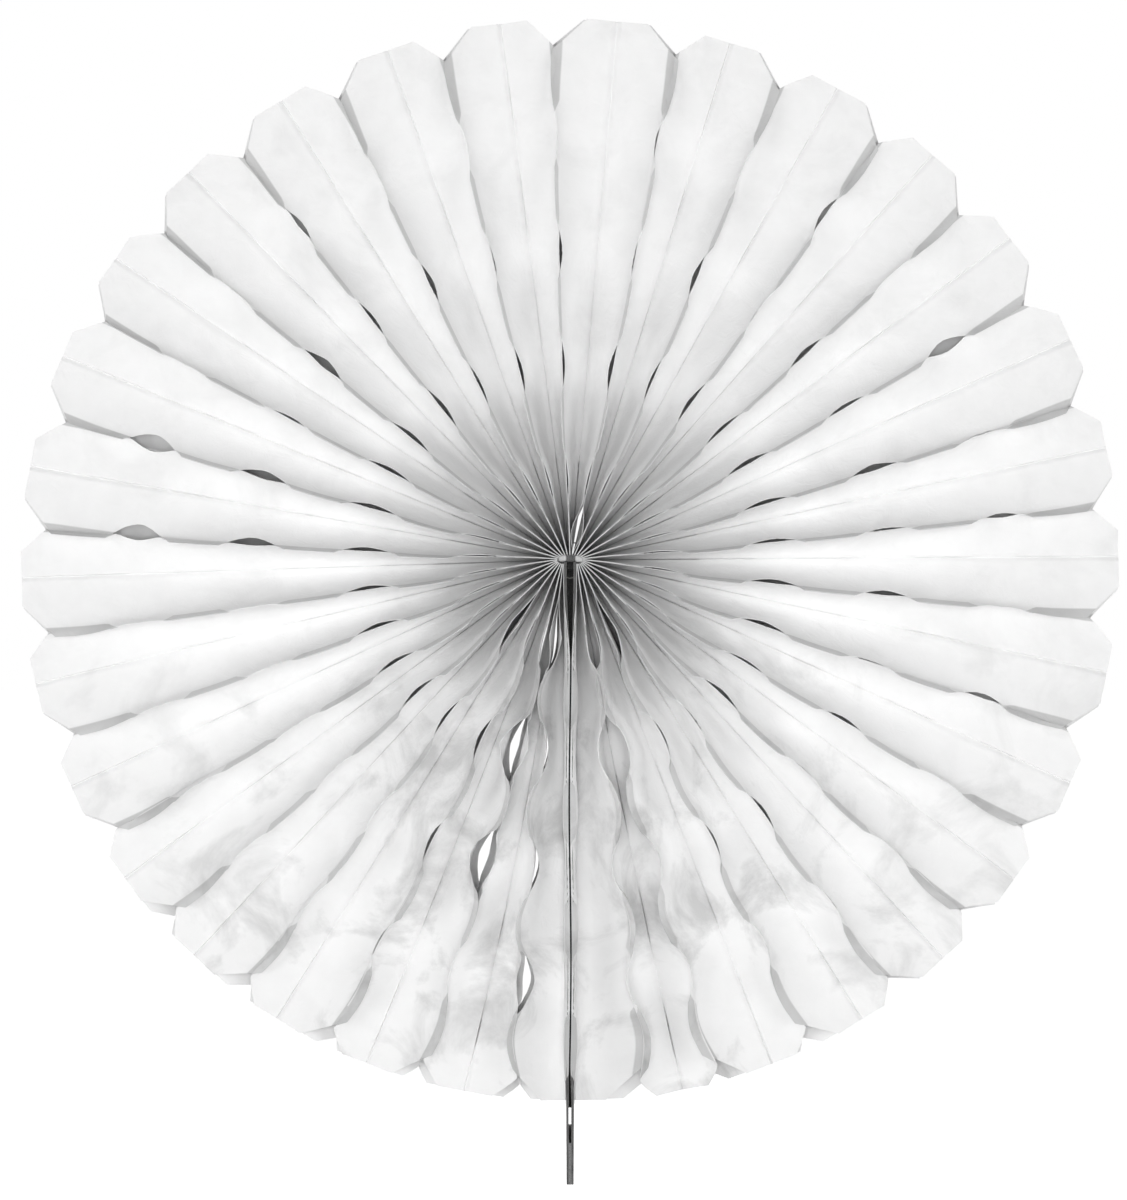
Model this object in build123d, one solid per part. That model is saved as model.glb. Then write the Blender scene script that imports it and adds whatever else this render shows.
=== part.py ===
"""Paper fan rosette: honeycomb cells of notched white tissue, opened into a full circle.

The fan hangs upright in the XZ plane and its front faces -Y. The origin is the centre of the hang hole
that is punched through the two card strips near their outer end, with the disc above it.

Two leaves of tissue make a cell. They are joined along their front edges and along their back edges,
between V-shaped notches, and each cell is joined to the next along a narrow strip at half its depth.
Opened out, a cell is a tube: a ridge at the front, a ridge at the back and a valley on either side.
The first and the last cell are joined to the card strips. A long adhesive strip and a pad at their outer
ends stick the card strips together, and a thread runs round through every leaf near the centre.

Every length is in millimetres and every angle in degrees. Angles about the disc's centre are counted
clockwise, as seen from the front, from the card strips.
"""
import math
import os

from build123d import *

# Driving dimensions of the tissue
FAN_RADIUS = 225.0          # centre of the disc to the outer end of a valley
LEAF_WIDTH = 50.0           # a leaf from its front edge to its back edge
LEAF_THICKNESS = 0.2        # tissue with its glue, thicker than the bare paper
CELL_OPENING = 0.915        # most that the cells open at the rim, on average, as a share of LEAF_WIDTH
INNER_END = 4.0             # the leaves' inner ends, from the line that they fan out from
JOIN_HEIGHT = 1.6           # strip along which neighbouring cells are joined
GLUE_STRIP = 3.5            # strip along a leaf's front and back edges that is glued to the other leaf
FOLD_INSET = 13.5           # front or back edge of a leaf to the fold that stands for its curl
CROWDING = 4.0              # how far the cells close up towards the card strips
SKEW = 0.7                  # how far the closing up differs from left to right

# Notches in the leaves' front and back edges
NOTCH_LENGTH = 27.0
NOTCH_DEPTH = 8.5
NOTCH_FIRST = 32.5          # centre of the disc to the first notch
NOTCH_PITCH = 47.5
RIM_CUT_LENGTH = 14.0       # the half notch that takes off each outer corner
RIM_CUT_DEPTH = 13.0

# Card strips and the adhesive between them
CARD_LENGTH = 256.0         # centre of the disc to the strips' outer end
CARD_THICKNESS = 1.0
CARD_INNER_END = 1.0        # centre of the disc to the strips' inner end
CENTRE_GAP = 3.0            # between the strips at the centre of the disc
PAD_THICKNESS = 1.0
PAD_LENGTH = 17.0
STRIP_WIDTH = 12.0          # adhesive strip, from front to back
STRIP_TOP = 3.0             # centre of the disc to the adhesive strip's inner end
STRIP_TO_PAD = 9.0          # adhesive strip's outer end to the pad
STRIP_INSET = 1.0           # adhesive strip to the card strips' back edges
HANG_HOLE_DIAMETER = 3.0
HANG_HOLE_INSET = 11.0      # from the strips' outer end

# Tie thread
THREAD_DIAMETER = 0.6
THREAD_RADIUS = 7.5         # radius of the ring that the thread makes
THREAD_SPANS = 12           # straight spans in that ring
LEAF_EYE = 1.2              # square slit that the thread passes through in a leaf
CARD_EYE = 1.6

CELL_COUNT = math.ceil(math.tau * FAN_RADIUS / (CELL_OPENING * LEAF_WIDTH))
NOTCH_ROOM = FAN_RADIUS - RIM_CUT_LENGTH - NOTCH_FIRST - NOTCH_LENGTH / 2
NOTCH_COUNT = math.ceil(NOTCH_ROOM / NOTCH_PITCH)
HALF_WIDTH = LEAF_WIDTH / 2
DISC_HEIGHT = CARD_LENGTH - HANG_HOLE_INSET
HUB_SHIFT = CENTRE_GAP / 2 + CARD_THICKNESS
CARD_SLOPE = (CENTRE_GAP - PAD_THICKNESS) / 2 / CARD_LENGTH
CARD_TILT = math.degrees(math.atan(CARD_SLOPE))
MARGIN = 1.0                # how far a cutter runs past what it cuts
LEAST_SPARE = 0.5           # least that a leaf is wider than the cell opens
GLUE_SHARE = 0.75           # most of that spare width that stays in the glued strip
FULLEST = 0.985             # most that a cell opens, as a share of the leaf between its joins
DEEPEST = 0.97              # deepest cut in a leaf's edge, as a share of the way to the fold


def along(angle):
    """Direction from the centre towards an angle, in the disc's plane."""
    return Vector(-math.sin(math.radians(angle)), 0, -math.cos(math.radians(angle)))


def across(angle):
    """Direction square to along(angle), towards larger angles."""
    return Vector(-math.cos(math.radians(angle)), 0, math.sin(math.radians(angle)))


def hub(angle):
    """Point that the leaves at an angle fan out from.

    It moves from the outer face of one card strip to that of the other, because the strips hold the two
    ends of the stack apart.
    """
    turn = math.radians(min(max(angle, 0.0), 360.0))
    return Vector(-HUB_SHIFT * math.cos(turn / 2), 0, DISC_HEIGHT)


def ridge_angle(number):
    """Angle of a cell's ridge; the cells number from 1."""
    even = (number - 0.5) * 360.0 / CELL_COUNT
    turn = math.radians(even)
    return even - CROWDING * math.sin(turn) - SKEW * (math.sin(2 * turn) + 1 - math.cos(turn))


def valley_angle(number):
    """Angle of the valley after a cell; valley 0 is the first card strip's outer face."""
    if number == 0:
        return -CARD_TILT
    if number == CELL_COUNT:
        return 360.0 + CARD_TILT
    return (ridge_angle(number) + ridge_angle(number + 1)) / 2


def half_pitch(number, radius):
    """Mean distance from a cell's ridge to its two valleys."""
    spread = math.radians(valley_angle(number) - valley_angle(number - 1)) / 2
    return radius * math.sin(spread)


def wall_profile(number, radius):
    """Ridge, fold and join of one wall of a cell, as (distance from the ridge's plane, depth).

    The real leaf comes off the glued ridge upright and sweeps down to the valley in a four-cusped curve
    that is as long as the leaf is wide. One fold stands for that curve.
    """
    pitch = half_pitch(number, radius)
    join = JOIN_HEIGHT / 2
    strip = min(GLUE_STRIP, GLUE_SHARE * max(HALF_WIDTH - join - pitch, LEAST_SPARE))
    length = HALF_WIDTH - join - strip
    reach = min(pitch, FULLEST * length)
    rise = ((length - reach) + math.sqrt((length - reach) * (length + 3 * reach))) / 2
    if math.isclose(rise, reach, rel_tol=0.01):
        rise = 1.01 * reach
    difference = rise**2 - reach**2
    cube = rise**3 - (FOLD_INSET - strip) * difference
    share = (rise**2 - cube ** (2 / 3)) / difference
    fold = (pitch * share**1.5, join + rise * (1 - share) ** 1.5)
    return [(0.0, join + rise + strip), fold, (pitch, join)]


def ridge_height(number, radius):
    """Height of a ridge above the valleys."""
    return wall_profile(number, radius)[0][1]


def inner_profile(profile):
    """A wall's profile, moved into the cell by the leaf's thickness.

    Near the centre, where the two leaves of a cell all but touch, they are one along the glued strip and
    share what room there is below it.
    """
    (_, top), (fold_x, fold_height), (join_x, join_height) = profile
    steep = math.atan2(top - fold_height, fold_x)
    flat = math.atan2(fold_height - join_height, join_x - fold_x)
    drop = min(GLUE_STRIP, LEAF_THICKNESS / math.cos(steep))
    shift = LEAF_THICKNESS / math.cos((steep - flat) / 2)
    middle = (steep + flat) / 2
    fold = (max(fold_x - shift * math.sin(middle), fold_x / 2), fold_height - shift * math.cos(middle))
    rise = LEAF_THICKNESS * (math.tan(flat) - 1 / math.cos(flat))
    return [(0.0, top - drop), fold, (join_x - LEAF_THICKNESS, join_height + rise)]


def facet(*corners):
    """Flat face through some corners."""
    return Face(Wire.make_polygon(corners))


def fan_facets(corners):
    """Triangles from the first corner of an outline to each of its other edges."""
    return [facet(corners[0], near, far) for near, far in zip(corners[1:], corners[2:])]


def folded_skin(sections):
    """Facets folded flat between the like corners of each section and the next."""
    skin = []
    for near, far in zip(sections, sections[1:]):
        for here in range(len(near)):
            there = (here + 1) % len(near)
            skin.append(facet(near[here], near[there], far[there]))
            skin.append(facet(near[here], far[there], far[here]))
    return skin


def notch_radii():
    """Distances of the notches from the hub."""
    return [NOTCH_FIRST + NOTCH_PITCH * place for place in range(NOTCH_COUNT)]


def section_radii():
    """Distances from the hub of the sections between which a leaf is folded flat."""
    return [INNER_END, notch_radii()[-2] + NOTCH_PITCH / 2, FAN_RADIUS]


class WallLines:
    """Ridge, fold and join line of one wall of a cell, on its outer or its inner face.

    A wall runs from the front or the back ridge to the valley on one side. Side -1 is the valley before
    the cell and 1 the valley after it; front is -1 for the front and 1 for the back.
    """

    def __init__(self, number, side, front, inner=False):
        self.radii = section_radii()
        self.ridge, self.fold, self.join = [], [], []
        before, after = valley_angle(number - 1), valley_angle(number)
        valley = after if side > 0 else before
        self.lengthening = 1 / math.cos(math.radians(after - before) / 2)
        ridge = ridge_angle(number)
        for radius in self.radii:
            profile = wall_profile(number, radius)
            if inner:
                profile = inner_profile(profile)
            spine = hub(ridge) + along(ridge) * radius * self.lengthening
            reach = (hub(valley) + along(valley) * radius - spine) / half_pitch(number, radius)
            for line, (x, height) in zip((self.ridge, self.fold, self.join), profile):
                line.append(spine + reach * x + Vector(0, front * height, 0))

    def span(self, distance):
        """Number of the span that holds a distance along the ridge, and the share of it up to there."""
        radius = distance / self.lengthening
        place = 0 if radius < self.radii[1] else 1
        near, far = self.radii[place:place + 2]
        return place, min((radius - near) / (far - near), 1.0)

    def at(self, line, distance):
        """Point of a line at a distance from the hub along the ridge."""
        place, share = self.span(distance)
        return line[place] + (line[place + 1] - line[place]) * share


def outer_cut(lines, edges, bottom, cut):
    """Points of a V-shaped cut on a wall's outer face: those on the ridge, and its bottom between them."""
    share = min(cut / FOLD_INSET, DEEPEST)
    top, fold = lines.at(lines.ridge, bottom), lines.at(lines.fold, bottom)
    return [lines.at(lines.ridge, edge) for edge in edges], top + (fold - top) * share


def inner_cut(lines, edges, bottom, outer):
    """Points of the same cut on the wall's inner face, level with those on its outer face."""
    starts, deepest = outer
    top, fold = lines.at(lines.ridge, bottom), lines.at(lines.fold, bottom)
    level = abs(deepest.Y)
    share = (abs(top.Y) - level) / (abs(top.Y) - abs(fold.Y))
    ends = []
    for edge, start in zip(edges, starts):
        depth = abs(start.Y) - abs(lines.at(lines.ridge, edge).Y)
        there = edge + (bottom - edge) * depth / (depth + abs(top.Y) - level)
        ends.append(lines.at(lines.ridge, there))
    return ends, top + (fold - top) * share


def wall_face(lines, cuts):
    """Facets of one face of a wall, from its notched ridge over the fold to the join."""
    skin = []
    for place in (0, 1):
        near_fold, far_fold = lines.fold[place:place + 2]
        tab, floor = [near_fold, lines.ridge[place]], [near_fold]
        for points, bottom in cuts[place]:
            skin += fan_facets([*tab, points[0], bottom])
            tab = [bottom, *points[1:]]
            floor.append(bottom)
        if len(tab) > 1:
            skin += fan_facets([*tab, lines.ridge[place + 1], far_fold])
        skin += fan_facets([*floor, far_fold])
        skin += fan_facets([near_fold, far_fold, lines.join[place + 1], lines.join[place]])
    return skin


def wall_skin(outer, inner):
    """Both faces of a wall, the cut edges between them, and where its outer end meets the rim's cut."""
    rim = FAN_RADIUS * outer.lengthening
    places = [((radius - NOTCH_LENGTH / 2, radius + NOTCH_LENGTH / 2), radius, NOTCH_DEPTH)
              for radius in notch_radii()]
    places.append(((rim - RIM_CUT_LENGTH,), rim, RIM_CUT_DEPTH))
    outer_cuts, inner_cuts, skin = ([], []), ([], []), []
    for edges, bottom, cut in places:
        outside = outer_cut(outer, edges, bottom, cut)
        inside = inner_cut(inner, edges, bottom, outside)
        place, _ = outer.span(bottom)
        outer_cuts[place].append(outside)
        inner_cuts[place].append(inside)
        for start, end in zip(outside[0], inside[0]):
            skin += fan_facets([start, outside[1], inside[1], end])
    skin += wall_face(outer, outer_cuts) + wall_face(inner, inner_cuts)
    return skin, outside[1], inside[1]


def thread_crossing(angle):
    """Point where the ring of thread passes through the valley at an angle."""
    start = hub(angle) - Vector(0, 0, DISC_HEIGHT)
    lean = start.dot(along(angle))
    distance = -lean + math.sqrt(lean**2 - start.dot(start) + THREAD_RADIUS**2)
    return hub(angle) + along(angle) * distance


def thread_eye(angle, size, length):
    """Cutter for the thread's slit through what stands in the valley at an angle."""
    plane = Plane(origin=thread_crossing(angle), x_dir=along(angle), z_dir=across(angle))
    return plane * Box(size, size, length)


def tissue_cell(number):
    """One cell: two notched leaves joined at the front and the back."""
    skin = []
    for side in (-1, 1):
        hub_end, rim_end = [], []
        faces = []
        for inner in (False, True):
            front, back = (WallLines(number, side, depth, inner) for depth in (-1, 1))
            faces.append((front, back))
            for near, far in ((0, 1), (1, 2)):
                skin.append(facet(front.join[near], front.join[far], back.join[far], back.join[near]))
        rims = []
        for outer, inner in zip(*faces):
            facets, *rim = wall_skin(outer, inner)
            skin += facets
            rims.append(rim)
        (outer_front, outer_back), (inner_front, inner_back) = faces
        for front, back, rim in zip((outer_front, inner_front), (outer_back, inner_back), zip(*rims)):
            hub_end.append([front.ridge[0], front.fold[0], front.join[0],
                            back.join[0], back.fold[0], back.ridge[0]])
            rim_end.append([rim[0], front.fold[-1], front.join[-1],
                            back.join[-1], back.fold[-1], rim[1]])
        for outside, inside in (hub_end, rim_end):
            skin.append(facet(*outside, *reversed(inside)))
    eyes = [
        thread_eye(valley_angle(valley), LEAF_EYE, 4 * LEAF_THICKNESS)
        for valley in (number - 1, number)
    ]
    return Solid(Shell(skin)) - eyes


def strip_outline(inner_face, outer_face, top, bottom):
    """Outline between two faces that lean with a card strip, from one level to another.

    Each face is given by its distance from the middle plane, taken level with the centre of the disc.
    """
    return [
        (inner_face - CARD_SLOPE * top, DISC_HEIGHT - top),
        (outer_face - CARD_SLOPE * top, DISC_HEIGHT - top),
        (outer_face - CARD_SLOPE * bottom, DISC_HEIGHT - bottom),
        (inner_face - CARD_SLOPE * bottom, DISC_HEIGHT - bottom),
    ]


def upright_plate(outline):
    """Plate over the full width of a leaf, from its outline seen from the front."""
    return extrude(Plane.XZ * make_face(Polyline(*outline, close=True)), HALF_WIDTH, both=True)


def hang_hole():
    """Cutter for the hang hole, along X through both strips and the pad."""
    length = 2 * (HUB_SHIFT + MARGIN)
    return Plane.YZ * Cylinder(HANG_HOLE_DIAMETER / 2, length)


def card_strip(side):
    """Card strip on the left (-1) or the right (1)."""
    outline = strip_outline(CENTRE_GAP / 2, HUB_SHIFT, CARD_INNER_END, CARD_LENGTH)
    plate = upright_plate([(side * x, z) for x, z in outline])
    angle = -CARD_TILT if side < 0 else 360.0 + CARD_TILT
    return plate - hang_hole() - thread_eye(angle, CARD_EYE, 3 * CARD_THICKNESS)


def filler_outline(top, bottom):
    """Outline of what fills the gap between the card strips, from one level to another."""
    half = strip_outline(CENTRE_GAP / 2, CENTRE_GAP / 2, top, bottom)
    right = [half[0], half[-1]]
    left = [(-x, z) for x, z in reversed(right)]
    return right + left


def adhesive_pad():
    """Pad that holds the strips' outer ends together, as wide as the strips."""
    return upright_plate(filler_outline(CARD_LENGTH - PAD_LENGTH, CARD_LENGTH)) - hang_hole()


def adhesive_strip():
    """Adhesive along the back of the gap, which keeps the fan open and closes the gap to the eye."""
    bottom = CARD_LENGTH - PAD_LENGTH - STRIP_TO_PAD
    outline = Polyline(*filler_outline(STRIP_TOP, bottom), close=True)
    back = Plane(origin=(0, HALF_WIDTH - STRIP_INSET, 0), x_dir=(1, 0, 0), z_dir=(0, -1, 0))
    return extrude(back * make_face(outline), STRIP_WIDTH)


def thread_section(angle):
    """Corners of the thread's six-sided section, at one corner of its ring.

    The ring's corners lie outside THREAD_RADIUS by as much as the middles of its spans lie inside.
    """
    corner_radius = 2 * THREAD_RADIUS / (1 + math.cos(math.pi / THREAD_SPANS))
    middle = Vector(0, 0, DISC_HEIGHT) + along(angle) * corner_radius
    corners = [math.radians(60 * corner) for corner in range(6)]
    reach = THREAD_DIAMETER / 2
    return [middle + (along(angle) * math.cos(turn) + Vector(0, math.sin(turn), 0)) * reach for turn in corners]


def tie_thread():
    """Ring of thread through every leaf and both strips."""
    sections = [thread_section(360.0 / THREAD_SPANS * span) for span in range(THREAD_SPANS)]
    return Solid(Shell(folded_skin([*sections, sections[0]])))


def main():
    """Write one STEP file for each piece."""
    os.makedirs("parts", exist_ok=True)
    pieces = {f"tissue_cell_{number:02d}": tissue_cell(number) for number in range(1, CELL_COUNT + 1)}
    pieces["card_strip_left"] = card_strip(-1)
    pieces["card_strip_right"] = card_strip(1)
    pieces["adhesive_pad"] = adhesive_pad()
    pieces["adhesive_strip"] = adhesive_strip()
    pieces["tie_thread"] = tie_thread()
    for name, piece in pieces.items():
        export_step(piece, f"parts/{name}.step")


main()
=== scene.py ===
"""Paper fan rosette: a round fan of white tissue paper between two card strips, in its studio.

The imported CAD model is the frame. Every tissue cell of it is replaced by two leaves of thin paper, cut flat
with their notches as the real ones are and then folded into the cell's place: glued together along the
ridge, curling down from it and nearly flat where they meet the next cell in the valley. The card strips are
replaced by strips whose edges are drawn together, with the glue and the gathered paper of the hub over them.

Sizes are in millimetres and angles in degrees, until a mesh is written in metres. Angles about the disc's
centre are counted clockwise from the card strips, as seen from the front.
"""
import logging
import math
from collections.abc import Callable
from dataclasses import dataclass, field
from enum import Enum
from functools import partial

import bmesh
import bpy
import numpy as np
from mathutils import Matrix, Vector

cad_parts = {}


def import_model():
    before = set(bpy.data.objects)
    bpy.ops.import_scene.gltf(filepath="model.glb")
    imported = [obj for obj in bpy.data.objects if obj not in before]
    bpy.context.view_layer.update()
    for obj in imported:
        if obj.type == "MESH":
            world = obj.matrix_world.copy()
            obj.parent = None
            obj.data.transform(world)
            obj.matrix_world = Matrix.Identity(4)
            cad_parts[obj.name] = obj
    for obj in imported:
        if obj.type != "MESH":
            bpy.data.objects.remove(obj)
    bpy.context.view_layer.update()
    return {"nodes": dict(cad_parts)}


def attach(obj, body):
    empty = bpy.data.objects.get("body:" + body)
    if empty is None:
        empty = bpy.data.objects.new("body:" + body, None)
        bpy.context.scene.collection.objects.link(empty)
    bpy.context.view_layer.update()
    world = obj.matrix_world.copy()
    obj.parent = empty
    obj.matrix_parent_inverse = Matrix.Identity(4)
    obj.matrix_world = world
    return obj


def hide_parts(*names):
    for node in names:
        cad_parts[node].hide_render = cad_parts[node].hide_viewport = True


MM = 0.001
BODY = "root"
SHARP = math.radians(50)
LEAST_TURN = 1e-4
WHITE = (1.0, 1.0, 1.0)
LOG = logging.getLogger("rosette")

Color = tuple[float, float, float]
Socket = bpy.types.NodeSocket


class Slot(Enum):
    """Material slots of the record."""

    TISSUE = "tissue"
    CARD = "card"
    ADHESIVE = "adhesive"
    THREAD = "thread"


class Side(Enum):
    """The side of a ridge that a leaf lies on."""

    BEFORE = -1
    AFTER = 1


# Modelling helpers


def deselect_all() -> None:
    """Leave object mode with nothing selected."""
    if bpy.context.mode != "OBJECT":
        bpy.ops.object.mode_set(mode="OBJECT")
    bpy.ops.object.select_all(action="DESELECT")


def pick(piece: bpy.types.Object) -> None:
    """Make one object the selected and active one.

    Args:
        piece: the object to pick.
    """
    deselect_all()
    piece.select_set(True)
    bpy.context.view_layer.objects.active = piece


def edit(piece: bpy.types.Object) -> None:
    """Open one object in edit mode with nothing selected.

    Args:
        piece: the object to open.
    """
    pick(piece)
    bpy.ops.object.mode_set(mode="EDIT")
    bpy.ops.mesh.select_mode(type="FACE")
    bpy.ops.mesh.select_all(action="DESELECT")


def select_faces(piece: bpy.types.Object, wanted: Callable[[Vector], bool]) -> int:
    """Select the faces of the object in edit mode by the place of their centres.

    Args:
        piece: the object that is open in edit mode.
        wanted: says for a face's centre whether the face is taken.

    Returns:
        How many faces were selected.
    """
    mesh = bmesh.from_edit_mesh(piece.data)
    count = 0
    for face in mesh.faces:
        take = wanted(face.calc_center_median())
        face.select_set(take)
        count += take
    mesh.select_flush_mode()
    bmesh.update_edit_mesh(piece.data)
    return count


def apply_modifier(piece: bpy.types.Object, kind: str, **settings: object) -> None:
    """Add a modifier to an object and apply it.

    Args:
        piece: the object to change.
        kind: the modifier's type.
        settings: the modifier's own values.
    """
    pick(piece)
    modifier = piece.modifiers.new(kind.title(), kind)
    for name, value in settings.items():
        setattr(modifier, name, value)
    bpy.ops.object.modifier_apply(modifier=modifier.name)


def points_of(piece: bpy.types.Object) -> np.ndarray:
    """Read a mesh's vertices.

    Args:
        piece: the object to read.

    Returns:
        The vertices' places in metres, one row each.
    """
    flat = np.empty(len(piece.data.vertices) * 3)
    piece.data.vertices.foreach_get("co", flat)
    return flat.reshape(-1, 3)


def move_points(piece: bpy.types.Object, places: np.ndarray) -> None:
    """Give a mesh's vertices new places.

    Args:
        piece: the object to change.
        places: the places in metres, one row each.
    """
    piece.data.vertices.foreach_set("co", np.ascontiguousarray(places, dtype=float).ravel())
    piece.data.update()


def copy_piece(piece: bpy.types.Object, name: str) -> bpy.types.Object:
    """Copy an object with a mesh of its own.

    Args:
        piece: the object to copy.
        name: name of the copy.

    Returns:
        The copy, linked to the scene.
    """
    twin = piece.copy()
    twin.data = piece.data.copy()
    twin.name = twin.data.name = name
    bpy.context.scene.collection.objects.link(twin)
    return twin


def join_pieces(pieces: list[bpy.types.Object], name: str) -> bpy.types.Object:
    """Join objects into the first of them.

    Args:
        pieces: the objects to join.
        name: name of the joined object.

    Returns:
        The joined object.
    """
    pick(pieces[0])
    for piece in pieces:
        piece.select_set(True)
    bpy.ops.object.join()
    joined = bpy.context.active_object
    joined.name = joined.data.name = name
    return joined


def new_piece(name: str) -> bpy.types.Object:
    """Name the object that was just added and open it in edit mode with everything selected.

    Args:
        name: name of the piece.

    Returns:
        The piece.
    """
    piece = bpy.context.active_object
    piece.name = piece.data.name = name
    edit(piece)
    bpy.ops.mesh.select_all(action="SELECT")
    return piece


def flat_strip(name: str, ends: tuple[float, float], width: float, rows: tuple[int, int]) -> bpy.types.Object:
    """Lay a flat strip along X and leave it open in edit mode.

    Args:
        name: name of the piece.
        ends: where it starts and ends, in millimetres.
        width: its width.
        rows: how many faces it has along and across.

    Returns:
        The strip.
    """
    deselect_all()
    along, across = rows
    bpy.ops.mesh.primitive_grid_add(x_subdivisions=along, y_subdivisions=across, size=1.0, location=(0, 0, 0))
    strip = new_piece(name)
    bpy.ops.transform.resize(value=((ends[1] - ends[0]) * MM, width * MM, 1))
    bpy.ops.transform.translate(value=((ends[0] + ends[1]) / 2 * MM, 0, 0))
    return strip


def thicken(sheet: bpy.types.Object, thickness: float) -> None:
    """Give a sheet its thickness in millimetres, half of it on either side."""
    apply_modifier(sheet, "SOLIDIFY", thickness=thickness * MM, offset=0.0, use_even_offset=False)


def round_edges(piece: bpy.types.Object, width: float, segments: int) -> None:
    """Round a piece's sharp edges, given the rounding's width in millimetres."""
    apply_modifier(
        piece, "BEVEL", width=width * MM, segments=segments, limit_method="ANGLE", angle_limit=SHARP
    )


def shade(piece: bpy.types.Object, angle: float) -> None:
    """Shade a piece smooth, apart from edges sharper than an angle in degrees."""
    pick(piece)
    bpy.ops.object.shade_smooth_by_angle(angle=math.radians(angle))


def paint(piece: bpy.types.Object, material: bpy.types.Material) -> None:
    """Give a piece one material and no other."""
    piece.data.materials.clear()
    piece.data.materials.append(material)


@dataclass(frozen=True)
class Onset:
    """A smooth step from 0 to 1 along some measure, in millimetres."""

    start: float
    length: float

    def share(self, measure: np.ndarray) -> np.ndarray:
        """How far along the step some places are, from 0 to 1."""
        return np.clip((measure - self.start) / self.length, 0.0, 1.0)

    def at(self, measure: np.ndarray) -> np.ndarray:
        """How far the step has risen at some places."""
        share = self.share(measure)
        return share * share * (3 - 2 * share)


# Finishes


class NodeBoard:
    """A node tree and the few ways in which nodes are added to it."""

    def __init__(self, tree: bpy.types.NodeTree) -> None:
        """Take the tree that the nodes go into."""
        self.nodes = tree.nodes
        self.links = tree.links

    def plug(self, value: object, socket: Socket) -> None:
        """Give a socket another node's output, a colour or a plain value.

        Args:
            value: what goes in.
            socket: the socket that takes it.
        """
        if isinstance(value, Socket):
            self.links.new(value, socket)
        elif socket.type == "RGBA":
            socket.default_value = (*value, 1)
        else:
            socket.default_value = value

    def add(
        self, kind: str, inputs: dict[str | int, object] | None = None, **settings: object
    ) -> bpy.types.Node:
        """Add a node.

        Args:
            kind: the node's type, without the ShaderNode before it.
            inputs: what goes into its sockets, by name or number.
            settings: the node's own properties.

        Returns:
            The new node.
        """
        node = self.nodes.new(f"ShaderNode{kind}")
        for name, value in settings.items():
            setattr(node, name, value)
        for name, value in (inputs or {}).items():
            self.plug(value, node.inputs[name])
        return node

    def reckon(self, operation: str, *values: object) -> Socket:
        """Work one number out from others."""
        return self.add("Math", dict(enumerate(values)), operation=operation).outputs[0]

    def noise(self, place: Socket, **inputs: float) -> Socket:
        """Grey noise over some coordinates."""
        return self.add("TexNoise", {"Vector": place, **inputs}).outputs["Fac"]

    def stretch(self, place: Socket, scale: tuple[float, float, float]) -> Socket:
        """Coordinates scaled along each axis."""
        return self.add("Mapping", {"Vector": place, "Scale": scale}).outputs["Vector"]

    def ramp(self, source: Socket, dark: float, light: float) -> Socket:
        """Turn a number into a grey.

        Args:
            source: the socket to read.
            dark: the number that gives black.
            light: the number that gives white.

        Returns:
            The ramp's colour output.
        """
        node = self.add("ValToRGB", {"Fac": source})
        for stop, position in zip(node.color_ramp.elements, (dark, light)):
            stop.position = position
        return node.outputs["Color"]

    def span(self, source: Socket, reach: tuple[float, float], values: tuple[object, object]) -> Socket:
        """Run from one value to another while a number runs over its reach.

        Args:
            source: the number's socket.
            reach: where the run starts and ends.
            values: the values at those ends, plain or from a socket.

        Returns:
            The value's socket.
        """
        ends = {"From Min": reach[0], "From Max": reach[1], "To Min": values[0], "To Max": values[1]}
        return self.add("MapRange", {"Value": source, **ends}).outputs["Result"]

    def blend(self, share: object, low: object, high: object, kind: str = "MIX") -> Socket:
        """Mix two colours.

        Args:
            share: how much of the second colour is taken.
            low: the first colour, plain or from a socket.
            high: the second colour, plain or from a socket.
            kind: how the two are mixed.

        Returns:
            The mixed colour's socket.
        """
        inputs = {"Factor": share, "A": low, "B": high}
        return self.add("Mix", inputs, data_type="RGBA", blend_type=kind).outputs["Result"]

    def bump(self, height: Socket, distance: float, strength: float, over: Socket | None = None) -> Socket:
        """Raise the surface by a pattern.

        Args:
            height: the pattern.
            distance: its depth in metres.
            strength: how much of it shows.
            over: another bump that this one lies on.

        Returns:
            The raised surface's normal.
        """
        inputs = {"Height": height, "Distance": distance, "Strength": strength}
        if over is not None:
            inputs["Normal"] = over
        return self.add("Bump", inputs).outputs["Normal"]


class FinishBoard(NodeBoard):
    """The node tree of a new material, round its Principled shader."""

    def __init__(self, name: str, **values: object) -> None:
        """Start a material.

        Args:
            name: the material's name.
            values: the shader's plain values, with underscores for the spaces in the sockets' names.
        """
        self.material = bpy.data.materials.new(name)
        self.material.use_nodes = True
        super().__init__(self.material.node_tree)
        self.shader = self.nodes["Principled BSDF"]
        for socket, value in values.items():
            self.plug(value, self.shader.inputs[socket.replace("_", " ")])

    def place(self) -> Socket:
        """Object coordinates, in metres."""
        return self.add("TexCoord").outputs["Object"]

    def dress(self, color: Socket, normal: Socket) -> bpy.types.Material:
        """Put a colour and a relief on the shader.

        Args:
            color: the colour.
            normal: the relief's normal.

        Returns:
            The finished material.
        """
        self.plug(color, self.shader.inputs["Base Color"])
        self.plug(normal, self.shader.inputs["Normal"])
        return self.material


def toned(color: Color, factor: float) -> Color:
    """A colour made darker or lighter."""
    return tuple(value * factor for value in color)


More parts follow.
